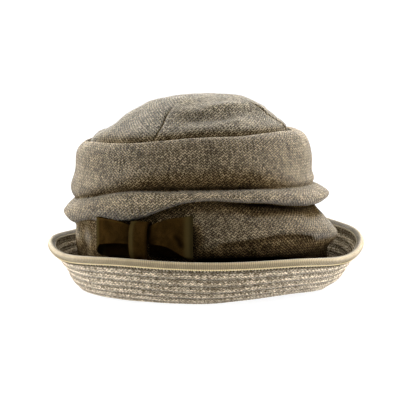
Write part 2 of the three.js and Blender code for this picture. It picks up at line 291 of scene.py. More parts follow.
# Curves and surfaces
def around(stations, azimuth):
    """A value that changes smoothly round the hat, read from equally spaced stations."""
    count = len(stations)
    place = np.mod(azimuth / 360 * count, count)
    start = np.floor(place).astype(int)
    t = place - start
    a, b, c, d = (np.take(stations, (start + k) % count) for k in (-1, 0, 1, 2))
    bend = (3 * (b - c) + d - a) * t + 2 * a - 5 * b + 4 * c - d
    return b + 0.5 * t * (c - a + t * bend)


def smoothstep(value, low, high):
    """0 below low, 1 above high and smooth between."""
    t = np.clip((value - low) / (high - low), 0, 1)
    return t * t * (3 - 2 * t)


def fade(distance, spread):
    """1 at a distance of 0, falling smoothly to about a third at the spread."""
    return np.exp(-((distance / spread) ** 2))


def turn_between(a, b):
    """The turn from b to a, from -180 to 180 degrees."""
    return np.mod(a - b + 180, 360) - 180


def facing_front(azimuth):
    """1 where the cloth faces the front, and 0 from the sides on."""
    return np.clip(np.cos(np.radians(azimuth - FRONT_AZIMUTH)), 0, 1)


def lift_at(azimuth):
    """How far the brim's fold lifts off the surface that the hat stands on."""
    off = np.minimum(np.abs(turn_between(azimuth, LIFT["middle"])) / LIFT["half_width"], 1)
    return LIFT["height"] * np.cos(off * np.pi / 2) ** 2


def on_section(left, right, front, back, azimuth, squareness, height):
    """Points of a rounded section that reaches from left to right and from front to back."""
    turn = np.radians(azimuth)

    def rounded(value):
        return np.sign(value) * np.abs(value) ** (2 / squareness)

    x = (left + right) / 2 + (right - left) / 2 * rounded(np.sin(turn))
    y = (front + back) / 2 - (back - front) / 2 * rounded(np.cos(turn))
    return np.stack(np.broadcast_arrays(x, y, height), -1)


def smooth(points, shares):
    """Places at the given shares of smooth curves through points, an array (..., row, axis)."""
    points = np.asarray(points, float)
    shares = np.asarray(shares, float)
    count = points.shape[-2]
    place = shares * (count - 1)
    start = np.minimum(np.floor(place).astype(int), count - 2)
    t = (place - start)[..., None]
    before = 2 * points[..., :1, :] - points[..., 1:2, :]
    after = 2 * points[..., -1:, :] - points[..., -2:-1, :]
    padded = np.concatenate([before, points, after], -2)
    p0, p1, p2, p3 = (padded[..., start + k, :] for k in range(4))

    def knot(a, b):
        return np.maximum(np.sqrt(np.linalg.norm(b - a, axis=-1, keepdims=True)), 1e-6)

    d0, d1, d2 = knot(p0, p1), knot(p1, p2), knot(p2, p3)
    leave = ((p1 - p0) / d0 - (p2 - p0) / (d0 + d1) + (p2 - p1) / d1) * d1
    reach = ((p2 - p1) / d1 - (p3 - p1) / (d1 + d2) + (p3 - p2) / d2) * d1
    c2 = -3 * p1 + 3 * p2 - 2 * leave - reach
    c3 = 2 * p1 - 2 * p2 + leave + reach
    return ((c3 * t + c2) * t + leave) * t + p1


def band_surface(azimuth, shares):
    """The band's outer face, from its foot over the rolls and the rim to its inner edge."""
    levels = [around(stations, azimuth) for stations in FOLDS.values()]
    levels = np.stack([*levels, FOOT_HEIGHT + lift_at(azimuth)], -1)
    rows = []
    for level, rise, left, right, front, back in BAND_ROWS:
        upper = min(int(level), levels.shape[-1] - 2)
        low, high = levels[..., upper + 1], levels[..., upper]
        height = high + (low - high) * (level - upper) + rise
        rows.append(on_section(left, right, front, back, azimuth, CROWN_SQUARENESS, height))
    points = smooth(np.stack(rows, -2), shares)
    push = 0
    for middle, height, spread, tall, out in BAND_DENTS:
        sideways = fade(turn_between(azimuth, middle), spread)[:, None]
        push = push + out * sideways * fade(points[..., 2] - height, tall)
    push = push * (1 - smoothstep(np.asarray(shares), *BAND_DENTS_FADE))
    turn = np.radians(azimuth)
    outward = np.stack([np.sin(turn), -np.cos(turn), 0 * turn], -1)[:, None]
    return points + push[..., None] * outward


def dome_surface(azimuth, shares):
    """The dome's outer face, at azimuths (column, row) that may differ from row to row."""
    rim = around(FOLDS["rim"], azimuth)
    rows = []
    for share, rise, left, right, front, back in DOME_ROWS:
        height = rim + (DOME_TOP - rim) * share + rise
        rows.append(on_section(left, right, front, back, azimuth, CROWN_SQUARENESS, height))
    apex = np.broadcast_to([DOME_APEX_X, 0.0, DOME_TOP], rows[0].shape)
    curves = np.stack([*rows, apex], -2)
    points = np.stack([smooth(curves[:, j], shares[j]) for j in range(len(shares))], 1)
    climbed = (points[..., 2] - rim) / (DOME_TOP - rim)
    for middle, at, spread, tall, rise in DOME_DENTS:
        dent = fade(turn_between(azimuth, middle), spread) * fade(climbed - at, tall)
        points[..., 2] += rise * dent * (1 - smoothstep(shares, 0.9, 1))
    return points


def brim_surface(azimuth, shares):
    """The brim's outer face, from the flat ring that the hat stands on up to its edge."""
    edge = around(BRIM_EDGE, azimuth)
    rows = []
    for share, left, right, front, back, squareness in BRIM_ROWS:
        height = edge * share + lift_at(azimuth) * (1 - share)
        rows.append(on_section(left, right, front, back, azimuth, squareness, height))
    rows = np.stack(rows, -2)
    shares = np.asarray(shares)
    flat = np.clip(shares / BRIM_FLAT_SHARE, 0, 1)[:, None]
    wall = smooth(rows[:, 1:], np.clip((shares - BRIM_FLAT_SHARE) / (1 - BRIM_FLAT_SHARE), 0, 1))
    ring = rows[:, :1] + (rows[:, 1:2] - rows[:, :1]) * flat
    return np.where(shares[:, None] < BRIM_FLAT_SHARE, ring, wall)


def even_shares(surface, count):
    """Shares that space the rows evenly along the cloth, judged round the whole hat."""
    shares = np.linspace(0, 1, 1201)
    points = surface(np.arange(0.0, 360, 30), shares)
    steps = np.linalg.norm(np.diff(points, axis=1), axis=-1).mean(0)
    length = np.concatenate([[0], np.cumsum(steps)])
    return np.interp(np.linspace(0, length[-1], count), length, shares)


def lengths(points, axis):
    """Distance covered along an axis of a grid of points."""
    steps = np.linalg.norm(np.diff(points, axis=axis), axis=-1)
    start = np.zeros_like(np.take(steps, [0], axis))
    return np.concatenate([start, np.cumsum(steps, axis)], axis)


def normals(points, goes_round, reach=1):
    """Unit normals of a grid, looking a number of rows and columns to each side."""
    if goes_round:
        across = np.roll(points, -reach, 0) - np.roll(points, reach, 0)
    else:
        ends = np.clip(np.arange(len(points))[:, None] + [-reach, reach], 0, len(points) - 1)
        across = points[ends[:, 1]] - points[ends[:, 0]]
    last = points.shape[1] - 1
    ends = np.clip(np.arange(last + 1)[:, None] + [-reach, reach], 0, last)
    along = points[:, ends[:, 1]] - points[:, ends[:, 0]]
    normal = np.cross(across, along)
    size = np.linalg.norm(normal, axis=-1, keepdims=True)
    return normal / np.maximum(size, 1e-9)


LATTICE = np.random.default_rng(20).random((64, 64, 64))


def cloth_noise(points, size, seed):
    """Soft random values from -1 to 1 that change over about the given size."""
    place = points / size + 17.3 * (seed + 1)
    start = np.floor(place).astype(int)
    t = place - start
    t = t * t * (3 - 2 * t)
    total = 0
    for corner in range(8):
        step = np.array([corner & 1, corner >> 1 & 1, corner >> 2 & 1])
        weight = np.prod(np.where(step, t, 1 - t), -1)
        x, y, z = np.moveaxis((start + step) % len(LATTICE), -1, 0)
        total = total + weight * LATTICE[x, y, z]
    return total * 2 - 1


def seen(points):
    """Where points show from the front: across and up, at the scale of the hat's middle."""
    gap = points - TARGET
    scale = DISTANCE / (DISTANCE + gap @ AHEAD)
    return np.stack([TARGET[0] + gap[..., 0] * scale, TARGET[2] + gap @ UPWARD * scale], -1)


def small_folds(points, folds):
    """How far small folds push the front half of the cloth out, and how much shade they paint on
    it.
    """
    place = seen(points)
    in_front = smoothstep(-points[..., 1], -4, 6)
    rise, darkness = 0, 0
    for out, width, dark, line in folds:
        line = np.array(line)
        off = np.full(place.shape[:-1], np.inf)
        for start, end in zip(line[:-1], line[1:]):
            along = end - start
            share = np.clip((place - start) @ along / (along @ along), 0, 1)
            gap = np.linalg.norm(place - start - share[..., None] * along, axis=-1)
            off = np.minimum(off, gap)
        near = fade(off, width) * in_front
        rise = rise + out * near
        darkness = darkness + dark * near * (1 - np.clip(darkness, 0, 1))
    return rise, darkness


# Meshes
def make_piece(name, points, faces, maps, finish, nodes, marks=None):
    """A mesh piece from points, four-sided faces and each face corner's place in the cloth."""
    mesh = bpy.data.meshes.new(name)
    faces = np.asarray(faces)
    mesh.vertices.add(len(points))
    mesh.vertices.foreach_set("co", (np.asarray(points) * MM).astype(np.float32).ravel())
    mesh.loops.add(faces.size)
    mesh.loops.foreach_set("vertex_index", faces.astype(np.int32).ravel())
    mesh.polygons.add(len(faces))
    sides = faces.shape[1]
    mesh.polygons.foreach_set("loop_start", np.arange(0, faces.size, sides, dtype=np.int32))
    mesh.polygons.foreach_set("use_smooth", np.ones(len(faces), bool))
    mesh.update(calc_edges=True)
    layer = mesh.uv_layers.new(name="cloth")
    layer.data.foreach_set("uv", np.asarray(maps, np.float32).ravel())
    for key, values in (marks or {}).items():
        layer = mesh.attributes.new(key, "FLOAT", "POINT")
        layer.data.foreach_set("value", np.asarray(values, np.float32).ravel())
    mesh.validate()
    mesh.materials.append(finish)
    piece = bpy.data.objects.new(name, mesh)
    bpy.context.scene.collection.objects.link(piece)
    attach(piece, "root")
    if nodes:
        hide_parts(*nodes)
    return piece


def grid_faces(columns, rows, goes_round, flip=False, start=0):
    """The point numbers of a grid's faces, and their places in the grid."""
    wide = columns if goes_round else columns - 1
    i, j = np.meshgrid(np.arange(wide), np.arange(rows - 1), indexing="ij")
    places = np.stack([
        np.stack([i, j], -1), np.stack([i + 1, j], -1),
        np.stack([i + 1, j + 1], -1), np.stack([i, j + 1], -1),
    ], 2).reshape(-1, 4, 2)
    if flip:
        places = places[:, ::-1]
    corners = start + (places[..., 0] % columns) * rows + places[..., 1]
    return corners, places


def wall(name, outer, inner, outer_map, inner_map, goes_round, finish, nodes, slot, marks=None):
    """A closed cloth wall between a shown face and a back face, each a grid of points.

    Each map gives the place in the cloth, with one more column where the grid goes round."""
    columns, rows = outer.shape[:2]
    back_rows = inner.shape[1]
    back = columns * rows
    shown, shown_places = grid_faces(columns, rows, goes_round)
    hidden, hidden_places = grid_faces(columns, back_rows, goes_round, True, back)
    faces = [shown, hidden]
    maps = [
        outer_map[shown_places[..., 0], shown_places[..., 1]],
        inner_map[hidden_places[..., 0], hidden_places[..., 1]],
    ]

    def strip(a, b, map_a, map_b):
        faces.append(np.stack([a[:-1], a[1:], b[1:], b[:-1]], 1))
        maps.append(np.stack([map_a[:-1], map_a[1:], map_b[1:], map_b[:-1]], 1))

    count = np.arange(columns + 1) % columns if goes_round else np.arange(columns)
    ends = np.arange(len(count))
    low_out, high_out = count * rows, count * rows + rows - 1
    low_in, high_in = back + count * back_rows, back + count * back_rows + back_rows - 1
    strip(low_in, low_out, inner_map[ends, 0], outer_map[ends, 0])
    strip(high_out, high_in, outer_map[ends, -1], inner_map[ends, -1])
    if not goes_round:
        up = np.arange(rows)
        strip(up, back + up, outer_map[0], inner_map[0])
        last = (columns - 1) * rows
        strip(back + last + up, last + up, inner_map[-1], outer_map[-1])
    points = np.concatenate([outer.reshape(-1, 3), inner.reshape(-1, 3)])
    corners, places = np.concatenate(faces), np.concatenate(maps)
    return make_piece(name, points, corners, places, finish, nodes, marks)


# Finishes
class Value:
    """A node's number or colour; an expression on numbers adds its own Math nodes."""

    def __init__(self, finish, socket):
        self.finish = finish
        self.socket = socket

    def math(self, operation, *numbers):
        settings = {"operation": operation}
        return self.finish.node("ShaderNodeMath", settings, dict(enumerate(numbers)))

    def __add__(self, other):
        return self.math("ADD", self, other)

    def __sub__(self, other):
        return self.math("SUBTRACT", self, other)

    def __rsub__(self, other):
        return self.math("SUBTRACT", other, self)

    def __mul__(self, other):
        return self.math("MULTIPLY", self, other)

    __radd__ = __add__
    __rmul__ = __mul__

    def fraction(self):
        return self.math("FRACT", self)

    def size(self):
        return self.math("ABSOLUTE", self)

    def floor(self):
        return self.math("FLOOR", self)

    def wave(self):
        """A wave that is 1 at whole numbers and -1 halfway between them."""
        return self.math("COSINE", self * math.tau)

    def ease(self, low, high):
        """0 below low, 1 above high and smooth between."""
        settings = {"interpolation_type": "SMOOTHSTEP", "clamp": True}
        places = {"Value": self, "From Min": low, "From Max": high}
        return self.finish.node("ShaderNodeMapRange", settings, places)


class Finish:
    """The nodes of a new material, or of the world round the hat."""

    def __init__(self, owner):
        self.owner = owner
        owner.use_nodes = True
        self.tree = owner.node_tree
        self.tree.nodes.clear()

    def node(self, kind, settings, inputs, output=0):
        """A new node with its settings and its sockets' values or links, as one output's value."""
        made = self.tree.nodes.new(kind)
        for key, value in settings.items():
            setattr(made, key, value)
        for key, value in inputs.items():
            if isinstance(value, Value):
                self.tree.links.new(value.socket, made.inputs[key])
            else:
                made.inputs[key].default_value = value
        return None if output is None else Value(self, made.outputs[output])

    def cloth_place(self):
        """The place in the cloth: wales across and courses up."""
        both = self.node("ShaderNodeUVMap", {"uv_map": "cloth"}, {})
        split = {"Vector": both}
        return (self.node("ShaderNodeSeparateXYZ", {}, split, k) for k in range(2))

    def mark(self, name):
        """A value kept at each point of the mesh."""
        return self.node("ShaderNodeAttribute", {"attribute_name": name}, {}, "Fac")

    def position(self):
        return self.node("ShaderNodeTexCoord", {}, {}, "Object")

    def noise(self, size, detail=2.0, roughness=0.5, vector=None, distortion=0.0):
        """Random values round 0.5 that change over about the given size in millimetres."""
        inputs = {"Vector": vector or self.position(), "Scale": 1 / (size * MM)}
        inputs |= {"Detail": detail, "Roughness": roughness, "Distortion": distortion}
        return self.node("ShaderNodeTexNoise", {}, inputs)

    def mix(self, share, first, second):
        """A colour that goes from the first to the second as the share goes from 0 to 1."""
        if not isinstance(first, Value):
            first = (*first, 1)
        if not isinstance(second, Value):
            second = (*second, 1)
        inputs = {"Factor": share, 6: first, 7: second}
        return self.node("ShaderNodeMix", {"data_type": "RGBA"}, inputs, 2)

    def times(self, first, second):
        """Two colours multiplied."""
        settings = {"operation": "MULTIPLY"}
        return self.node("ShaderNodeVectorMath", settings, {0: first, 1: second})

    def scaled(self, colour, by):
        """A colour made darker or lighter by a number."""
        return self.times(colour, self.node("ShaderNodeCombineXYZ", {}, {0: by, 1: by, 2: by}))

    def bump(self, height, depth):
        """Relief from a height of 0 to 1 that is the given depth in millimetres."""
        return self.node("ShaderNodeBump", {}, {"Height": height, "Distance": depth * MM})

    def face(self, **inputs):
        """A cloth's face, whose inputs are named as its sockets are, in small letters."""
        sockets = {
            name.replace("_", " ").title().replace("Ior", "IOR"): value
            for name, value in inputs.items()
        }
        return self.node("ShaderNodeBsdfPrincipled", {}, sockets)

    def between(self, share, first, second):
        """A face that goes from the first to the second as the share goes from 0 to 1."""
        return self.node("ShaderNodeMixShader", {}, {0: share, 1: first, 2: second})

    def surface(self, face=None, **inputs):
        """The finished material, from a face or from a face's inputs."""
        shown = face or self.face(**inputs)
        self.node("ShaderNodeOutputMaterial", {}, {"Surface": shown}, output=None)
        return self.owner


def knit_stitches(wale, course, slant):
    """Height, 0 to 1, of plain knitting, whose stitches have two legs that lean together."""
    side = (wale.fraction() * 2 - 1).size()
    climb = course - side * slant
    leg = climb.fraction()
    ridge = leg * (1 - leg) * 4
    between_legs = side.ease(0.0, 0.25) * 0.15 + 0.85
    between_wales = 1 - side.ease(0.8, 1.0) * 0.15
    return ridge * between_legs * between_wales, climb


def heathered_yarn(
    name, light, dark, relief_depth, slant=0.75, pressed=0.0, ragged=0.0, shadow=(1, 0.84, 0.6),
):
    """Knitted cloth of mixed light and dark wool.

    `pressed` paints shade into its rows of stitching, and `ragged` blurs its stitches into level
    streaks.
    Hollows of the cloth get painted shade from the painted shading mark, tinted by `shadow`, and
    the mark paints light where it is below 0."""
    finish = Finish(bpy.data.materials.new(name))
    wale, course = finish.cloth_place()
    # Hand-like unevenness bends the wales and courses a little.
    bend = finish.noise(7, 1) - 0.5
    wale, course = wale + bend * 0.25, course + bend * 0.4
    height, climb = knit_stitches(wale, course, slant)
    # Each leg of a stitch has a shade of its own, under fibres, streaks and cloudy patches.
    leg = finish.node("ShaderNodeCombineXYZ", {}, {0: (wale * 2).floor(), 1: climb.floor()})
    chance = finish.node("ShaderNodeTexWhiteNoise", {"noise_dimensions": "2D"}, {"Vector": leg})
    fibres = finish.noise(0.7, 2, 0.7)
    cloudy = finish.noise(14, 3)
    # Streaks are about three times as long as they are high.
    streaked = {0: wale * (WALE * MM * 0.3), 1: course * (COURSE * MM)}
    streaks = finish.noise(0.9, 2, 0.7, finish.node("ShaderNodeCombineXYZ", {}, streaked))
    blend = chance * 0.3 + fibres * (1.4 - ragged) + streaks * (2 * ragged) + cloudy * 0.3
    blend = blend - (0.57 + 0.5 * ragged)
    shade = finish.mix(blend.ease(0.1, 0.9), dark, light)
    painted_shading = finish.mark("painted_shading")
    # The gaps between the stitches get painted shade, under the painted shade and light of the
    # mark.
    least = 0.05 + 0.45 * ragged
    stitch = height.ease(0.3, 0.9) * (1 - least) + least
    colour = finish.scaled(shade, stitch * (1 - painted_shading * PAINTED_SHADING_LOSS))
    colour = finish.times(colour, finish.mix(painted_shading.ease(0.0, 0.9), (1, 1, 1), shadow))
    # Painted shade along the rows of stitching, patchy along the streaks.
    if pressed:
        patches_and_seam_shade = 1.3 - streaks
        colour = finish.scaled(colour, 1 - finish.mark("sewn") * patches_and_seam_shade * pressed)
    fuzz = finish.noise(0.45, 2, 0.7)
    relief = finish.bump(height * 0.85 + fuzz * 0.15, relief_depth)
    plain = finish.face(
        base_color=colour, roughness=1.0, normal=relief, specular_ior_level=0.0,
    )
    fuzzy = finish.face(
        base_color=colour, roughness=0.95, normal=relief, specular_ior_level=0.2,
        sheen_weight=0.2, sheen_roughness=0.3,
    )
    return finish.surface(finish.between(painted_shading.ease(0.0, 0.5), fuzzy, plain))


def grosgrain(name, light, dark, selvedge):
    """Ribbed ribbon, whose place in the cloth counts its ribs and gives the share of its width."""
    finish = Finish(bpy.data.materials.new(name))
    rib, across = finish.cloth_place()
    ridge = rib.wave() * 0.5 + 0.5
    threads = finish.noise(0.5, 2, 0.6)
    patches_and_seam_shade = finish.noise(9, 2)
    shade = finish.mix((threads * 0.8 + patches_and_seam_shade * 0.5 - 0.15).ease(0.2, 0.9), dark, light)
    # A painted highlight along the top of the ribbon's fold round the brim's edge.
    painted_fold_highlight = 1 - (across - 0.5).size().ease(0.06, 0.14)
    edge = (across - 0.5).size().ease(0.36, 0.41)
    shade = finish.mix(edge, finish.scaled(shade, painted_fold_highlight * 0.5 + 0.8), selvedge)
    # Painted shade in the grooves between the ribs, and from the painted shading mark.
    shaded = 1 - finish.mark("painted_shading") * PAINTED_SHADING_LOSS
    colour = finish.scaled(shade, (ridge * 0.42 + 0.58) * shaded)
    relief = finish.bump(ridge * 0.8 + threads * 0.2, 0.25)
    return finish.surface(
        base_color=colour, roughness=0.72, normal=relief,
        sheen_weight=0.55, sheen_roughness=0.3,
    )


def brushed_suede(name, light, dark, painted_highlight):
    """Suede with a short brushed nap, paler where a highlight is painted on it."""
    finish = Finish(bpy.data.materials.new(name))
    nap = finish.noise(0.6, 3, 0.7)
    strokes = finish.noise(9, 3, 0.6, distortion=0.6)
    shade = finish.mix((nap * 0.7 + strokes * 0.8 - 0.25).ease(0.25, 0.8), dark, light)
    shade = finish.mix(finish.mark("painted_highlight"), shade, painted_highlight)
    # Darker under the painted shade of the mark.
    shade = finish.scaled(shade, 1 - finish.mark("painted_shading") * 0.9)
    relief = finish.bump(nap * 0.6 + strokes * 0.4, 0.35)
    return finish.surface(
        base_color=shade, roughness=1.0, normal=relief, specular_ior_level=0.0,
    )


def thread(name, light, dark):
    """Sewing thread, lighter and darker along its twist."""
    finish = Finish(bpy.data.materials.new(name))
    twist = finish.noise(0.5, 2)
    return finish.surface(
        base_color=finish.mix(twist.ease(0.3, 0.7), dark, light), roughness=0.9,
        specular_ior_level=0.1,
    )


crown_yarn = heathered_yarn("crown_yarn", (0.55, 0.44, 0.275), (0.03, 0.019, 0.005), 1.2)
# The dome's yarn is a greyer copy of the crown's, painted for the whitish light that grazes the
# dome.
dome_yarn = heathered_yarn("dome_yarn", (0.53, 0.45, 0.305), (0.036, 0.0245, 0.0085), 1.2)
brim_yarn = heathered_yarn(
    "brim_yarn", (0.97, 0.83, 0.61), (0.15, 0.105, 0.05), 0.9,
    slant=0.6, pressed=0.75, ragged=0.75, shadow=(1, 0.96, 0.9),
)
edge_ribbon = grosgrain(
    "edge_ribbon", (0.42, 0.33, 0.18), (0.25, 0.19, 0.095), (0.85, 0.68, 0.36),
)
bow_suede = brushed_suede(
    "bow_suede", (0.028, 0.0145, 0.0032), (0.01, 0.0052, 0.0011), (0.05, 0.037, 0.012),
)
quilting_thread = thread("quilting_thread", (0.3, 0.235, 0.14), (0.14, 0.105, 0.06))
edging_thread = thread("edging_thread", (0.1, 0.078, 0.04), (0.05, 0.038, 0.018))


# The crown
def wrinkled(points, direction, strength, size, seed=0):
    """Points moved in and out by soft random wrinkles of about the given size."""
    big = cloth_noise(points, size, seed)
    small = cloth_noise(points, size * 0.42, seed + 1)
    return points + (strength * (big * 0.72 + small * 0.28))[..., None] * direction


def wales_round(ring):
    """How many wales lie before each point of a closed ring, whose last point is its first."""
    girth = lengths(ring, 0)
    return girth / girth[-1] * round(girth[-1] / WALE)


def round_map(wales, covered):
    """The places in cloth that goes round the hat, with its first column once more at the end."""
    courses = np.concatenate([covered, covered[:1]]) / COURSE
    return np.stack([np.broadcast_to(wales[:, None], courses.shape), courses], -1)


def band_shade(azimuth, shares, base, darkness):
    """How much shade is painted on the band in its gutter and creases, at its rim and behind the
    bow; below 0 it is painted light.
    """
    along = lengths(base, 1)
    height = base[..., 2]
    in_front = facing_front(azimuth)[:, None] ** 1.5
    # The gutter behind the brim gets painted shade, less at the front left where it is open to the
    # light.
    from_opening = turn_between(azimuth, OPEN_GUTTER["azimuth"])[:, None]
    open_side = OPEN_GUTTER["light"] * fade(from_opening, OPEN_GUTTER["spread"])
    painted_shading = (1 - open_side) * (1 - smoothstep(height, *GUTTER_HEIGHTS))
    # The creases' painted shade fades to the left and to the right.
    left = 1 - smoothstep(base[..., 0], *LEFT_FADE)
    right = smoothstep(base[..., 0], *RIGHT_FADE)
    far_left = 0.5 * (1 - smoothstep(base[..., 0], *FAR_LEFT_FADE))
    creases = []
    for crease, depth, fade_left, fade_right, below, beside, above in BAND_CREASES:
        place = np.array([np.interp(crease, shares, row) for row in along])[:, None]
        off = along - place
        above = beside + (above - beside) * in_front
        depth = depth * (1 - fade_left * left) * (1 - fade_right * right) * (1 - far_left)
        painted_shading = np.maximum(painted_shading, depth * fade(off, np.where(off < 0, below, above)))
        creases.append(place)
    # The roll between the creases gets painted light.
    low, high = creases
    roll = np.clip((along - low) / (high - low), 0, 1)
    painted_shading = painted_shading - ROLL_LIGHT * (0.4 + 0.6 * in_front) * np.sin(np.pi * roll) ** 0.5
    front_change = FRONT_SHADE["low"] - FRONT_SHADE["high"]
    raised = smoothstep(height, *FRONT_SHADE["heights"])
    painted_shading = painted_shading + in_front * (FRONT_SHADE["low"] - front_change * raised)
    painted_shading = painted_shading + darkness * (1 - np.clip(painted_shading, 0, 1))
    # The rim's fold and the sides above the rolls are painted light, and the cloth under the dome
    # painted dark.
    painted_shading = painted_shading - RIM_LIGHT * fade(shares - RIM_SHARE, RIM_WIDTH)
    upper_side = (1 - in_front) * smoothstep(height, *UPPER_SIDE_HEIGHTS)
    painted_shading = painted_shading - UPPER_SIDE_LIGHT * upper_side
    painted_shading = painted_shading + UNDER_DOME_SHADE * in_front * smoothstep(shares, *UNDER_DOME_SHARES)
    beside_bow = np.abs(turn_between(azimuth, BOW_AZIMUTH))[:, None]
    above_bow = np.abs(height - BEHIND_BOW["height"])
    behind_bow = 1 - smoothstep(above_bow, *BEHIND_BOW["heights"])
    behind_bow = behind_bow * (1 - smoothstep(beside_bow, *BEHIND_BOW["degrees"]))
    return painted_shading + behind_bow * (BEHIND_BOW["shade"] - painted_shading)


def draped_band():
    """The side of the crown, with its wrinkles, small folds and the painted shades of its rolls.
    """
    columns, rows, back_rows = 400, 176, 60
    azimuth = np.arange(columns) * 360 / columns
    shares = even_shares(band_surface, rows)
    base = band_surface(azimuth, shares)
    out = normals(base, True)
    height = base[..., 2]
    # The wrinkles die out at the foot, past the rim and under the bow.
    near_bow = fade(turn_between(azimuth, BOW_AZIMUTH), 38)[:, None] * fade(height - 47, 26)
    free = smoothstep(height, 6, 16) * (1 - smoothstep(shares, 0.84, 0.9))
    push = WRINKLE_PUSH * free * (1 - smoothstep(near_bow, 0.25, 0.6))
    rise, darkness = small_folds(base, BAND_FOLDS)
    shown = wrinkled(base, out, push, BAND_WRINKLE_SIZE) + rise[..., None] * out
    back = band_surface(azimuth, even_shares(band_surface, back_rows))
    back = back - KNIT * normals(back, True, 2)
    painted_shading = band_shade(azimuth, shares, base, darkness)
    inside = np.full(back[..., 0].size, INSIDE_SHADE)
    wales = wales_round(band_surface(np.append(azimuth, 360.0), [0.45])[:, 0])
    cloth, back_cloth = (round_map(wales, lengths(face, 1)) for face in (base, back))
    return wall(
        "band_cloth", shown, back, cloth, back_cloth, True, crown_yarn,
        ["draped_band"], "crown_knit", {"painted_shading": np.concatenate([painted_shading.ravel(), inside])},
    )


def crown_panel(index):
    """One of the dome's four wedges, between two seams that turn on their way to the top."""
    columns, rows = 112, 96
    (start, turn_start), (end, turn_end) = SEAMS[index], SEAMS[(index + 1) % 4]
    end += 360 if end < start else 0

    def spread(azimuth, shares):
        return dome_surface(np.repeat(np.asarray(azimuth)[:, None], len(shares), 1), shares)

    shares = even_shares(spread, rows)
    across = np.linspace(0, 1, columns)[:, None]
    azimuth = (start + turn_start * shares) * (1 - across) + (end + turn_end * shares) * across
    base = dome_surface(azimuth, shares)
    base[:, -1] = [DOME_APEX_X, 0, DOME_TOP]
    out = normals(base, False)
    out[:, -1] = [0, 0, 1]
    # The seams pull the cloth in and puff it up beside them, and fade towards the top.
    reach = lengths(base, 0)
    seam = np.minimum(reach, reach[-1] - reach)
    sharp = 1 - 0.85 * smoothstep(shares, 0.5, 0.7)
    puffed = SEAM_PUFF * fade(seam - SEAM_PUFF_DISTANCE, SEAM_PUFF_WIDTH)
    pressed = sharp * (-SEAM_DEPTH * fade(seam, SEAM_WIDTH) + puffed)
    at_top = smoothstep(shares, 0.93, 1.0)
    pressed = pressed * (1 - at_top) - TOP_DEPTH * at_top
    calm = smoothstep(shares, 0.1, 0.2) * (1 - at_top)
    rise, darkness = small_folds(base, DOME_FOLDS)
    pressed = pressed + rise * calm
    shown = wrinkled(base, out, WRINKLE_PUSH * calm, DOME_WRINKLE_SIZE, 3)
    shown = shown + pressed[..., None] * out
    back = base - KNIT * out
    rim = around(FOLDS["rim"], azimuth)
    # Painted shade at the dome's foot in front, along the seams and in the small folds.
    foot = 0.6 * facing_front(azimuth) * fade(np.maximum(base[..., 2] - rim, 0), 4.5)
    painted_shading = np.maximum(foot, 0.6 * fade(seam, 0.8) * sharp) + darkness
    if index < 2:
        # Painted shade falls along the seam between the first two panels at the right shoulder.
        from_shoulder_seam = reach if index else reach[-1] - reach
        patches_and_seam_shade = fade(from_shoulder_seam, 2.2) * (1 - smoothstep(shares, 0.5, 0.75))
        painted_shading = painted_shading + 0.8 * patches_and_seam_shade * (1 - np.clip(painted_shading, 0, 1))
    # The dome is painted a little lighter higher up, and darker at the front left.
    painted_shading = painted_shading - 0.12 * smoothstep(shares, 0.2, 0.6)
    painted_shading = painted_shading + 0.15 * fade(turn_between(azimuth, -60), 35)
    painted_shading = painted_shading * (1 - at_top)
    inside = np.full(painted_shading.size, INSIDE_SHADE)
    marks = {"painted_shading": np.concatenate([painted_shading.ravel(), inside])}
    # Each panel starts at another course, so that no stitch repeats across a seam.
    courses = np.broadcast_to(lengths(base[columns // 2][None], 1) / COURSE, (columns, rows))
    cloth = np.stack([(reach - reach[-1] / 2) / WALE, courses + 3.7 * index], -1)
    name = f"crown_panel_cloth_{index + 1}"
    return wall(
        name, shown, back, cloth, cloth, False, dome_yarn,
        [f"crown_panel_{index + 1}"], "crown_knit", marks,
    )


# The brim, its ribbon and the sewing
def quilting(from_edge):
    """How near a row of stitching is, and the puff of the cloth, which is least in a row."""
    place = (from_edge - FIRST_QUILT_ROW) / QUILT_PITCH
    off = np.abs(place - np.round(place)) * QUILT_PITCH
    off = np.where(np.round(place) < 0, QUILT_PITCH, off)
    halfway = np.minimum(off / QUILT_PITCH, 0.5)
    return fade(off, QUILT_ROW_WIDTH), QUILT_PUFF * np.cos(np.pi * (1 - 2 * halfway))


def brim_cloth(azimuth, rows):
    """The brim's outer face, its normals, and the cloth's length from its start and its edge."""
    base = brim_surface(azimuth, even_shares(brim_surface, rows))
    covered = lengths(base, 1)
    return base, normals(base, True), covered, covered[:, -1:] - covered


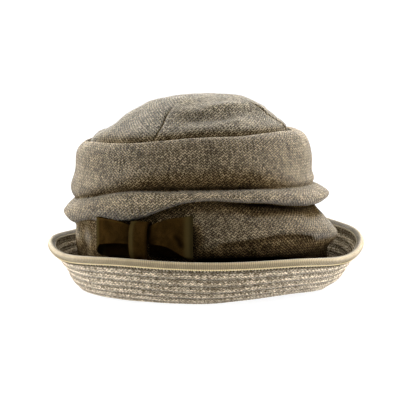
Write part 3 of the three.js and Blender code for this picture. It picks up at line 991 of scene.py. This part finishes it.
def brim():
    """Double knit, pressed in by its rows of stitching and slightly rippled."""
    columns, rows = 480, 92
    azimuth = np.arange(columns) * 360 / columns
    base, out, covered, from_edge = brim_cloth(azimuth, rows)
    under_ribbon = 1 - smoothstep(from_edge, BINDING_LEG, BINDING_LEG + 2.5)
    sewn, puff = quilting(from_edge)
    sewn = sewn * (1 - under_ribbon)
    pressed = (0.3 * puff - 0.3) * (1 - under_ribbon) - 0.6 * sewn - 0.1 * under_ribbon
    ripples = cloth_noise(base, RIPPLE_SIZE, 5) * RIPPLE_PUSH * (1 - under_ribbon)
    shown = base + (pressed + ripples)[..., None] * out
    back = base - (BRIM_CLOTH + pressed - ripples)[..., None] * out
    wales = wales_round(brim_surface(np.append(azimuth, 360.0), [0.7])[:, 0])
    cloth = round_map(wales, covered)
    # Painted shade under the ribbon's edge, the rest of the outside made lighter, and painted
    # shade low on the inside.
    outside = 0.3 * fade(from_edge - BINDING_LEG - 1.2, 1.4) - 0.35
    inside = 0.5 + 0.48 * (1 - smoothstep(back[..., 2], 10, 34))
    marks = {
        "sewn": np.concatenate([sewn.ravel(), sewn.ravel()]),
        "painted_shading": np.concatenate([outside.ravel(), inside.ravel()]),
    }
    return wall(
        "brim_cloth", shown, back, cloth, cloth, True, brim_yarn, ["brim"], "brim_knit", marks,
    )


def brim_edge(azimuth):
    """The middle of the brim's edge, and the directions up along the brim and out from it."""
    near = brim_surface(azimuth, [0.97, 0.985, 1])
    out = normals(near, True)[:, -1]
    up = near[:, 2] - near[:, 1]
    up /= np.linalg.norm(up, axis=-1, keepdims=True)
    return near[:, 2] - BRIM_CLOTH / 2 * out, up, out


def along_edge(pitch, parts=1):
    """Azimuths evenly along the brim's edge: a whole number of pitches, each in equal parts."""
    azimuth = np.arange(720) / 2
    middle, _, _ = brim_edge(azimuth)
    girth = lengths(np.concatenate([middle, middle[:1]]), 0)
    count = round(girth[-1] / pitch) * parts
    return np.interp(np.arange(count) / count * girth[-1], girth, np.append(azimuth, 360.0))


def brim_binding():
    """The ribbed ribbon, up one side of the brim, round its edge and down the other side."""
    azimuth = along_edge(RIB_PITCH, RIB_COLUMNS)
    middle, up, out = brim_edge(azimuth)
    columns, leg_rows = len(azimuth), 5
    angle = np.linspace(0, np.pi, 9)
    leg = np.linspace(-BINDING_LEG, 0, leg_rows, endpoint=False)
    sideways = np.concatenate([np.ones(leg_rows), np.cos(angle), -np.ones(leg_rows)])
    upward = np.concatenate([leg, np.sin(angle), leg[::-1]])
    rows = len(upward)

    def face(radius, raised):
        climb = np.where(upward > 0, upward * radius, upward)
        grid = middle[:, None] + (sideways * radius)[:, None] * out[:, None]
        grid = grid + climb[:, None] * up[:, None]
        return grid + raised[..., None] * (np.sign(sideways)[:, None] * out[:, None])

    inner_radius = BRIM_CLOTH / 2 + GAP
    ribs = np.arange(columns + 1)[:, None] / RIB_COLUMNS
    raised = np.broadcast_to(RIB_HEIGHT * np.cos(math.tau * ribs[:-1]), (columns, rows))
    outer = face(inner_radius + RIBBON, raised)
    inner = face(inner_radius, np.zeros((columns, rows)))
    across = np.linspace(0, 1, rows)
    cloth = np.stack(np.broadcast_arrays(ribs, across), -1)
    # The ribbon's inner side, facing the crown, gets painted shade.
    inner_side = np.broadcast_to(0.62 * smoothstep(across, 0.48, 0.72), (2, columns, rows))
    return wall(
        "binding_ribbon", outer, inner, cloth, cloth, True, edge_ribbon,
        ["brim_binding"], "binding_ribbon", {"painted_shading": inner_side},
    )


def thread_stitches(name, starts, ends, out, width, finish):
    """Short raised threads from start to end points, pinched where they enter the cloth."""
    sides, rings = 5, np.array([0.0, 0.14, 0.5, 0.86, 1.0])
    swell = np.array([0.25, 0.8, 1.0, 0.8, 0.25])
    along = ends - starts
    across = np.cross(out, along / np.linalg.norm(along, axis=-1, keepdims=True))
    angle = math.tau * np.arange(sides) / sides
    lift = (swell - 0.6)[:, None] * width * 0.5 + THREAD_RISE
    centre = starts[:, None] + rings[:, None] * along[:, None] + lift * out[:, None]
    radius = (swell * width / 2)[None, :, None, None]
    round_out = np.cos(angle)[:, None] * out[:, None, None] * 0.8
    round_side = np.sin(angle)[:, None] * across[:, None, None]
    points = centre[:, :, None] + radius * (round_out + round_side)
    ring, side = np.meshgrid(np.arange(len(rings) - 1), np.arange(sides), indexing="ij")
    after = (side + 1) % sides
    quad = np.stack([
        ring * sides + side, ring * sides + after,
        (ring + 1) * sides + after, (ring + 1) * sides + side,
    ], -1).reshape(-1, 4)
    first = np.arange(len(starts))[:, None, None] * len(rings) * sides
    faces = (first + quad).reshape(-1, 4)
    maps = np.zeros((*faces.shape, 2))
    return make_piece(name, points.reshape(-1, 3), faces, maps, finish, [])


def line_at(grid, from_edge, distance):
    """The vectors of a grid at a distance from the brim's edge, once round and closed."""
    line = np.array([
        [np.interp(-distance, -off, vectors[:, k]) for k in range(3)]
        for off, vectors in zip(from_edge, grid)
    ])
    return np.concatenate([line, line[:1]])


def along_line(values, girth, places):
    """Vectors at places along a line, whose points lie at the lengths in girth."""
    return np.stack([np.interp(places, girth, values[:, k]) for k in range(3)], -1)


def stitch_rows():
    """Rows of running stitches pressed into both faces of the brim."""
    azimuth = np.arange(0, 360, 0.5)
    base, out, _, from_edge = brim_cloth(azimuth, 120)
    starts, ends, outs = [], [], []
    for face, sits in ((1, -STITCH_DEPTH), (-1, STITCH_DEPTH - BRIM_CLOTH)):
        for row in range(QUILT_ROWS):
            distance = FIRST_QUILT_ROW + QUILT_PITCH * row
            line = line_at(base + sits * out, from_edge, distance)
            facing = line_at(out, from_edge, distance) * face
            girth = lengths(line, 0)
            count = round(girth[-1] / STITCH_PITCH)
            begin = (np.arange(count) + ROW_SHIFT * row) / count * girth[-1] % girth[-1]
            begin = begin[begin + STITCH_LENGTH < girth[-1]]
            starts.append(along_line(line, girth, begin))
            ends.append(along_line(line, girth, begin + STITCH_LENGTH))
            outs.append(along_line(facing, girth, begin))
    return thread_stitches(
        "brim_stitching", np.concatenate(starts), np.concatenate(ends), np.concatenate(outs),
        QUILTING_THREAD_WIDTH, quilting_thread,
    )


def ribbon_stitches():
    """The row of stitches that holds the ribbon, from its lower edge into the brim."""
    middle, up, out = brim_edge(along_edge(NOTCH_PITCH))
    starts = middle + out * (BRIM_CLOTH / 2 + GAP) - up * (BINDING_LEG - 0.1)
    ends = middle + out * (BRIM_CLOTH / 2) - up * (BINDING_LEG + 2.2)
    return thread_stitches(
        "ribbon_stitching", starts, ends, out,
        EDGING_THREAD_WIDTH, edging_thread,
    )


# The bow
def on_bow(along, out, height):
    """Points of the bow: along the band from the knot's middle, out from it, and up."""
    left, right, front, back = BOW_BED.values()
    middle = math.radians(BOW_AZIMUTH)
    speed = math.hypot((right - left) / 2 * math.cos(middle), back * math.sin(middle))
    azimuth = BOW_AZIMUTH + np.degrees(along / speed)
    bed = on_section(left, right, front, back, azimuth, 2, height)
    turn = np.radians(azimuth)
    outward = np.stack([np.sin(turn) / ((right - left) / 2), -np.cos(turn) / back, 0 * turn], -1)
    outward /= np.linalg.norm(outward, axis=-1, keepdims=True)
    return bed + out[..., None] * outward


def plain_map(columns, rows):
    """Places in the cloth that count the columns and rows of a grid."""
    return np.stack(np.meshgrid(np.arange(columns), np.arange(rows), indexing="ij"), -1)


def ribbon_path(rows, columns):
    """Places along a folded ribbon and the unit directions that it runs in."""
    flat = np.concatenate([rows, np.zeros((len(rows), 1))], -1)
    shares = np.linspace(0, 1, columns)
    places = smooth(flat, shares)[:, :2]
    ahead = smooth(flat, np.minimum(shares + 0.01, 1)) - smooth(flat, np.maximum(shares - 0.01, 0))
    ahead = ahead[:, :2] / np.linalg.norm(ahead[:, :2], axis=-1, keepdims=True)
    return places, ahead


def bow_loop(side, name):
    """One loop of the bow, which goes out along the band and folds back over itself."""
    columns, rows = 150, 34
    places, ahead = ribbon_path(LOOP_ROWS[side][:, :2], columns)
    edges, _ = ribbon_path(LOOP_ROWS[side][:, 2:], columns)
    share = np.linspace(0, 1, rows)

    def face(offset):
        along = places[:, :1] + ahead[:, 1:] * offset
        out = places[:, 1:] - ahead[:, :1] * offset
        height = edges[:, :1] + (edges[:, 1:] - edges[:, :1]) * share
        return on_bow(*np.broadcast_arrays(side * along, out, height))

    faces = [face(SUEDE / 2), face(-SUEDE / 2)]
    _, darkness = small_folds(faces[0], BOW_FOLDS)
    # Painted shade: only the upper layer of a loop is lit, and the knot shades its inner end.
    in_front = smoothstep(places[:, 1:], 7, 10)
    under_knot = 1 - smoothstep(places[:, :1], 7, 10)
    outer = np.maximum(LOOP_SHADE * (1 - in_front), 0.75 * under_knot)
    outer = outer + darkness * in_front
    painted_shading = [outer, np.full(outer.shape, LOOP_SHADE)]
    # The far end of the loop gets a painted highlight where it folds back.
    reach = LOOP_ROWS[side][:, 0].max()
    painted_highlight = 0.8 * smoothstep(places[:, :1], reach - 7, reach - 2)
    if side > 0:
        faces.reverse()
        painted_shading.reverse()
    marks = {
        "painted_shading": np.concatenate([values.ravel() for values in painted_shading]),
        "painted_highlight": np.broadcast_to(painted_highlight, (2, columns, rows)),
    }
    cloth = plain_map(columns, rows)
    return wall(
        name + "_suede", *faces, cloth, cloth, False, bow_suede, [name], "bow_suede", marks,
    )


def bow_knot():
    """The strip wrapped over the middle of the bow."""
    columns, rows = 120, 24
    places, ahead = ribbon_path(KNOT_ROWS[:, ::-1], columns)
    share = np.linspace(-0.5, 0.5, rows)

    def face(offset):
        out = places[:, :1] - ahead[:, 1:] * offset
        height = places[:, 1:] + ahead[:, :1] * offset
        along = KNOT_WIDTH * share[None]
        return on_bow(*np.broadcast_arrays(along, out, height))

    across = np.broadcast_to(share, (2, columns, rows))
    # Painted shade on the knot's right side and a painted highlight on its left.
    marks = {
        "painted_shading": 0.6 * smoothstep(across, 0.3, 0.5),
        "painted_highlight": 0.6 * fade(across + 0.36, 0.12),
    }
    cloth = plain_map(columns, rows)
    return wall(
        "bow_knot_suede", face(SUEDE / 2), face(-SUEDE / 2), cloth, cloth, False,
        bow_suede, ["bow_knot"], "bow_suede", marks,
    )


for index in range(4):
    crown_panel(index)
draped_band()
brim()
brim_binding()
stitch_rows()
ribbon_stitches()
bow_loop(-1, "bow_left_loop")
bow_loop(1, "bow_right_loop")
bow_knot()


# The studio
def studio_floor():
    """White paper under and far behind the hat."""
    mesh = bpy.data.meshes.new("studio_floor")
    reach = 200
    corners = [(-reach, -reach, 0), (reach, -reach, 0), (reach, reach, 0), (-reach, reach, 0)]
    mesh.from_pydata(corners, [], [(0, 1, 2, 3)])
    finish = Finish(bpy.data.materials.new("white_paper"))
    mesh.materials.append(finish.surface(
        base_color=(0.12, 0.12, 0.12, 1), roughness=0.9, specular_ior_level=0.0,
        emission_color=(1, 1, 1, 1), emission_strength=PAPER_GLOW,
    ))
    floor = bpy.data.objects.new("studio_floor", mesh)
    bpy.context.scene.collection.objects.link(floor)
    # Just under the brim's fold, so that the two don't share a plane.
    floor.location.z = -0.0003


def soft_light(name, place, aim, size, power):
    """A rectangular lamp; sizes are in metres and the power in watts."""
    light = bpy.data.lights.new(name, "AREA")
    light.shape = "RECTANGLE"
    light.size, light.size_y = size
    light.energy = power
    lamp = bpy.data.objects.new(name, light)
    bpy.context.scene.collection.objects.link(lamp)
    point_at(lamp, place, aim)


def point_at(thing, place, aim):
    """Puts a lamp or the camera at a place and turns it towards its aim, upright."""
    gap = np.subtract(aim, place)
    thing.location = place
    thing.rotation_euler = (
        math.atan2(math.hypot(gap[0], gap[1]), -gap[2]), 0, math.atan2(-gap[0], gap[1]),
    )


def studio_air():
    """Pale surroundings, brightest beside the hat and dark above it and behind the camera."""
    air = Finish(bpy.data.worlds.new("studio_air"))
    bpy.context.scene.world = air.owner
    facing = air.node("ShaderNodeTexCoord", {}, {}, "Generated")
    rightward, behind, above = (
        air.node("ShaderNodeSeparateXYZ", {}, {"Vector": facing}, k) for k in range(3)
    )
    low = 1 - above.ease(0.1, 0.6)
    beside = 1 - behind.size().ease(0.1, 0.7)
    sideways = LIGHT_BESIDE + rightward.ease(-0.3, 0.3) * LIGHT_FROM_RIGHT
    bright = (behind.ease(0.0, 0.4) * LIGHT_BEHIND + beside * sideways) * low
    colour = air.mix(beside, (1, 1, 1), (0.98, 1.0, 1.09))
    light = air.node("ShaderNodeBackground", {}, {"Color": colour, "Strength": bright})
    air.node("ShaderNodeOutputWorld", {}, {"Surface": light}, output=None)


studio_floor()
studio_air()
soft_light("top_light", (0, 0.8, 1.2), (0, 0, 0.1), (1.6, 0.6), 55)
soft_light("front_light", (0.2, -0.8, 1.6), (0, 0, 0.1), (1.2, 0.6), 10)

camera = bpy.data.objects.new("camera", bpy.data.cameras.new("camera"))
bpy.context.scene.collection.objects.link(camera)
point_at(camera, (TARGET - DISTANCE * AHEAD) * MM, TARGET * MM)
camera.data.lens = LENS
camera.data.sensor_width = SENSOR_WIDTH
camera.data.clip_end = 1000
bpy.context.scene.camera = camera
bpy.context.scene.view_settings.view_transform = "Standard"
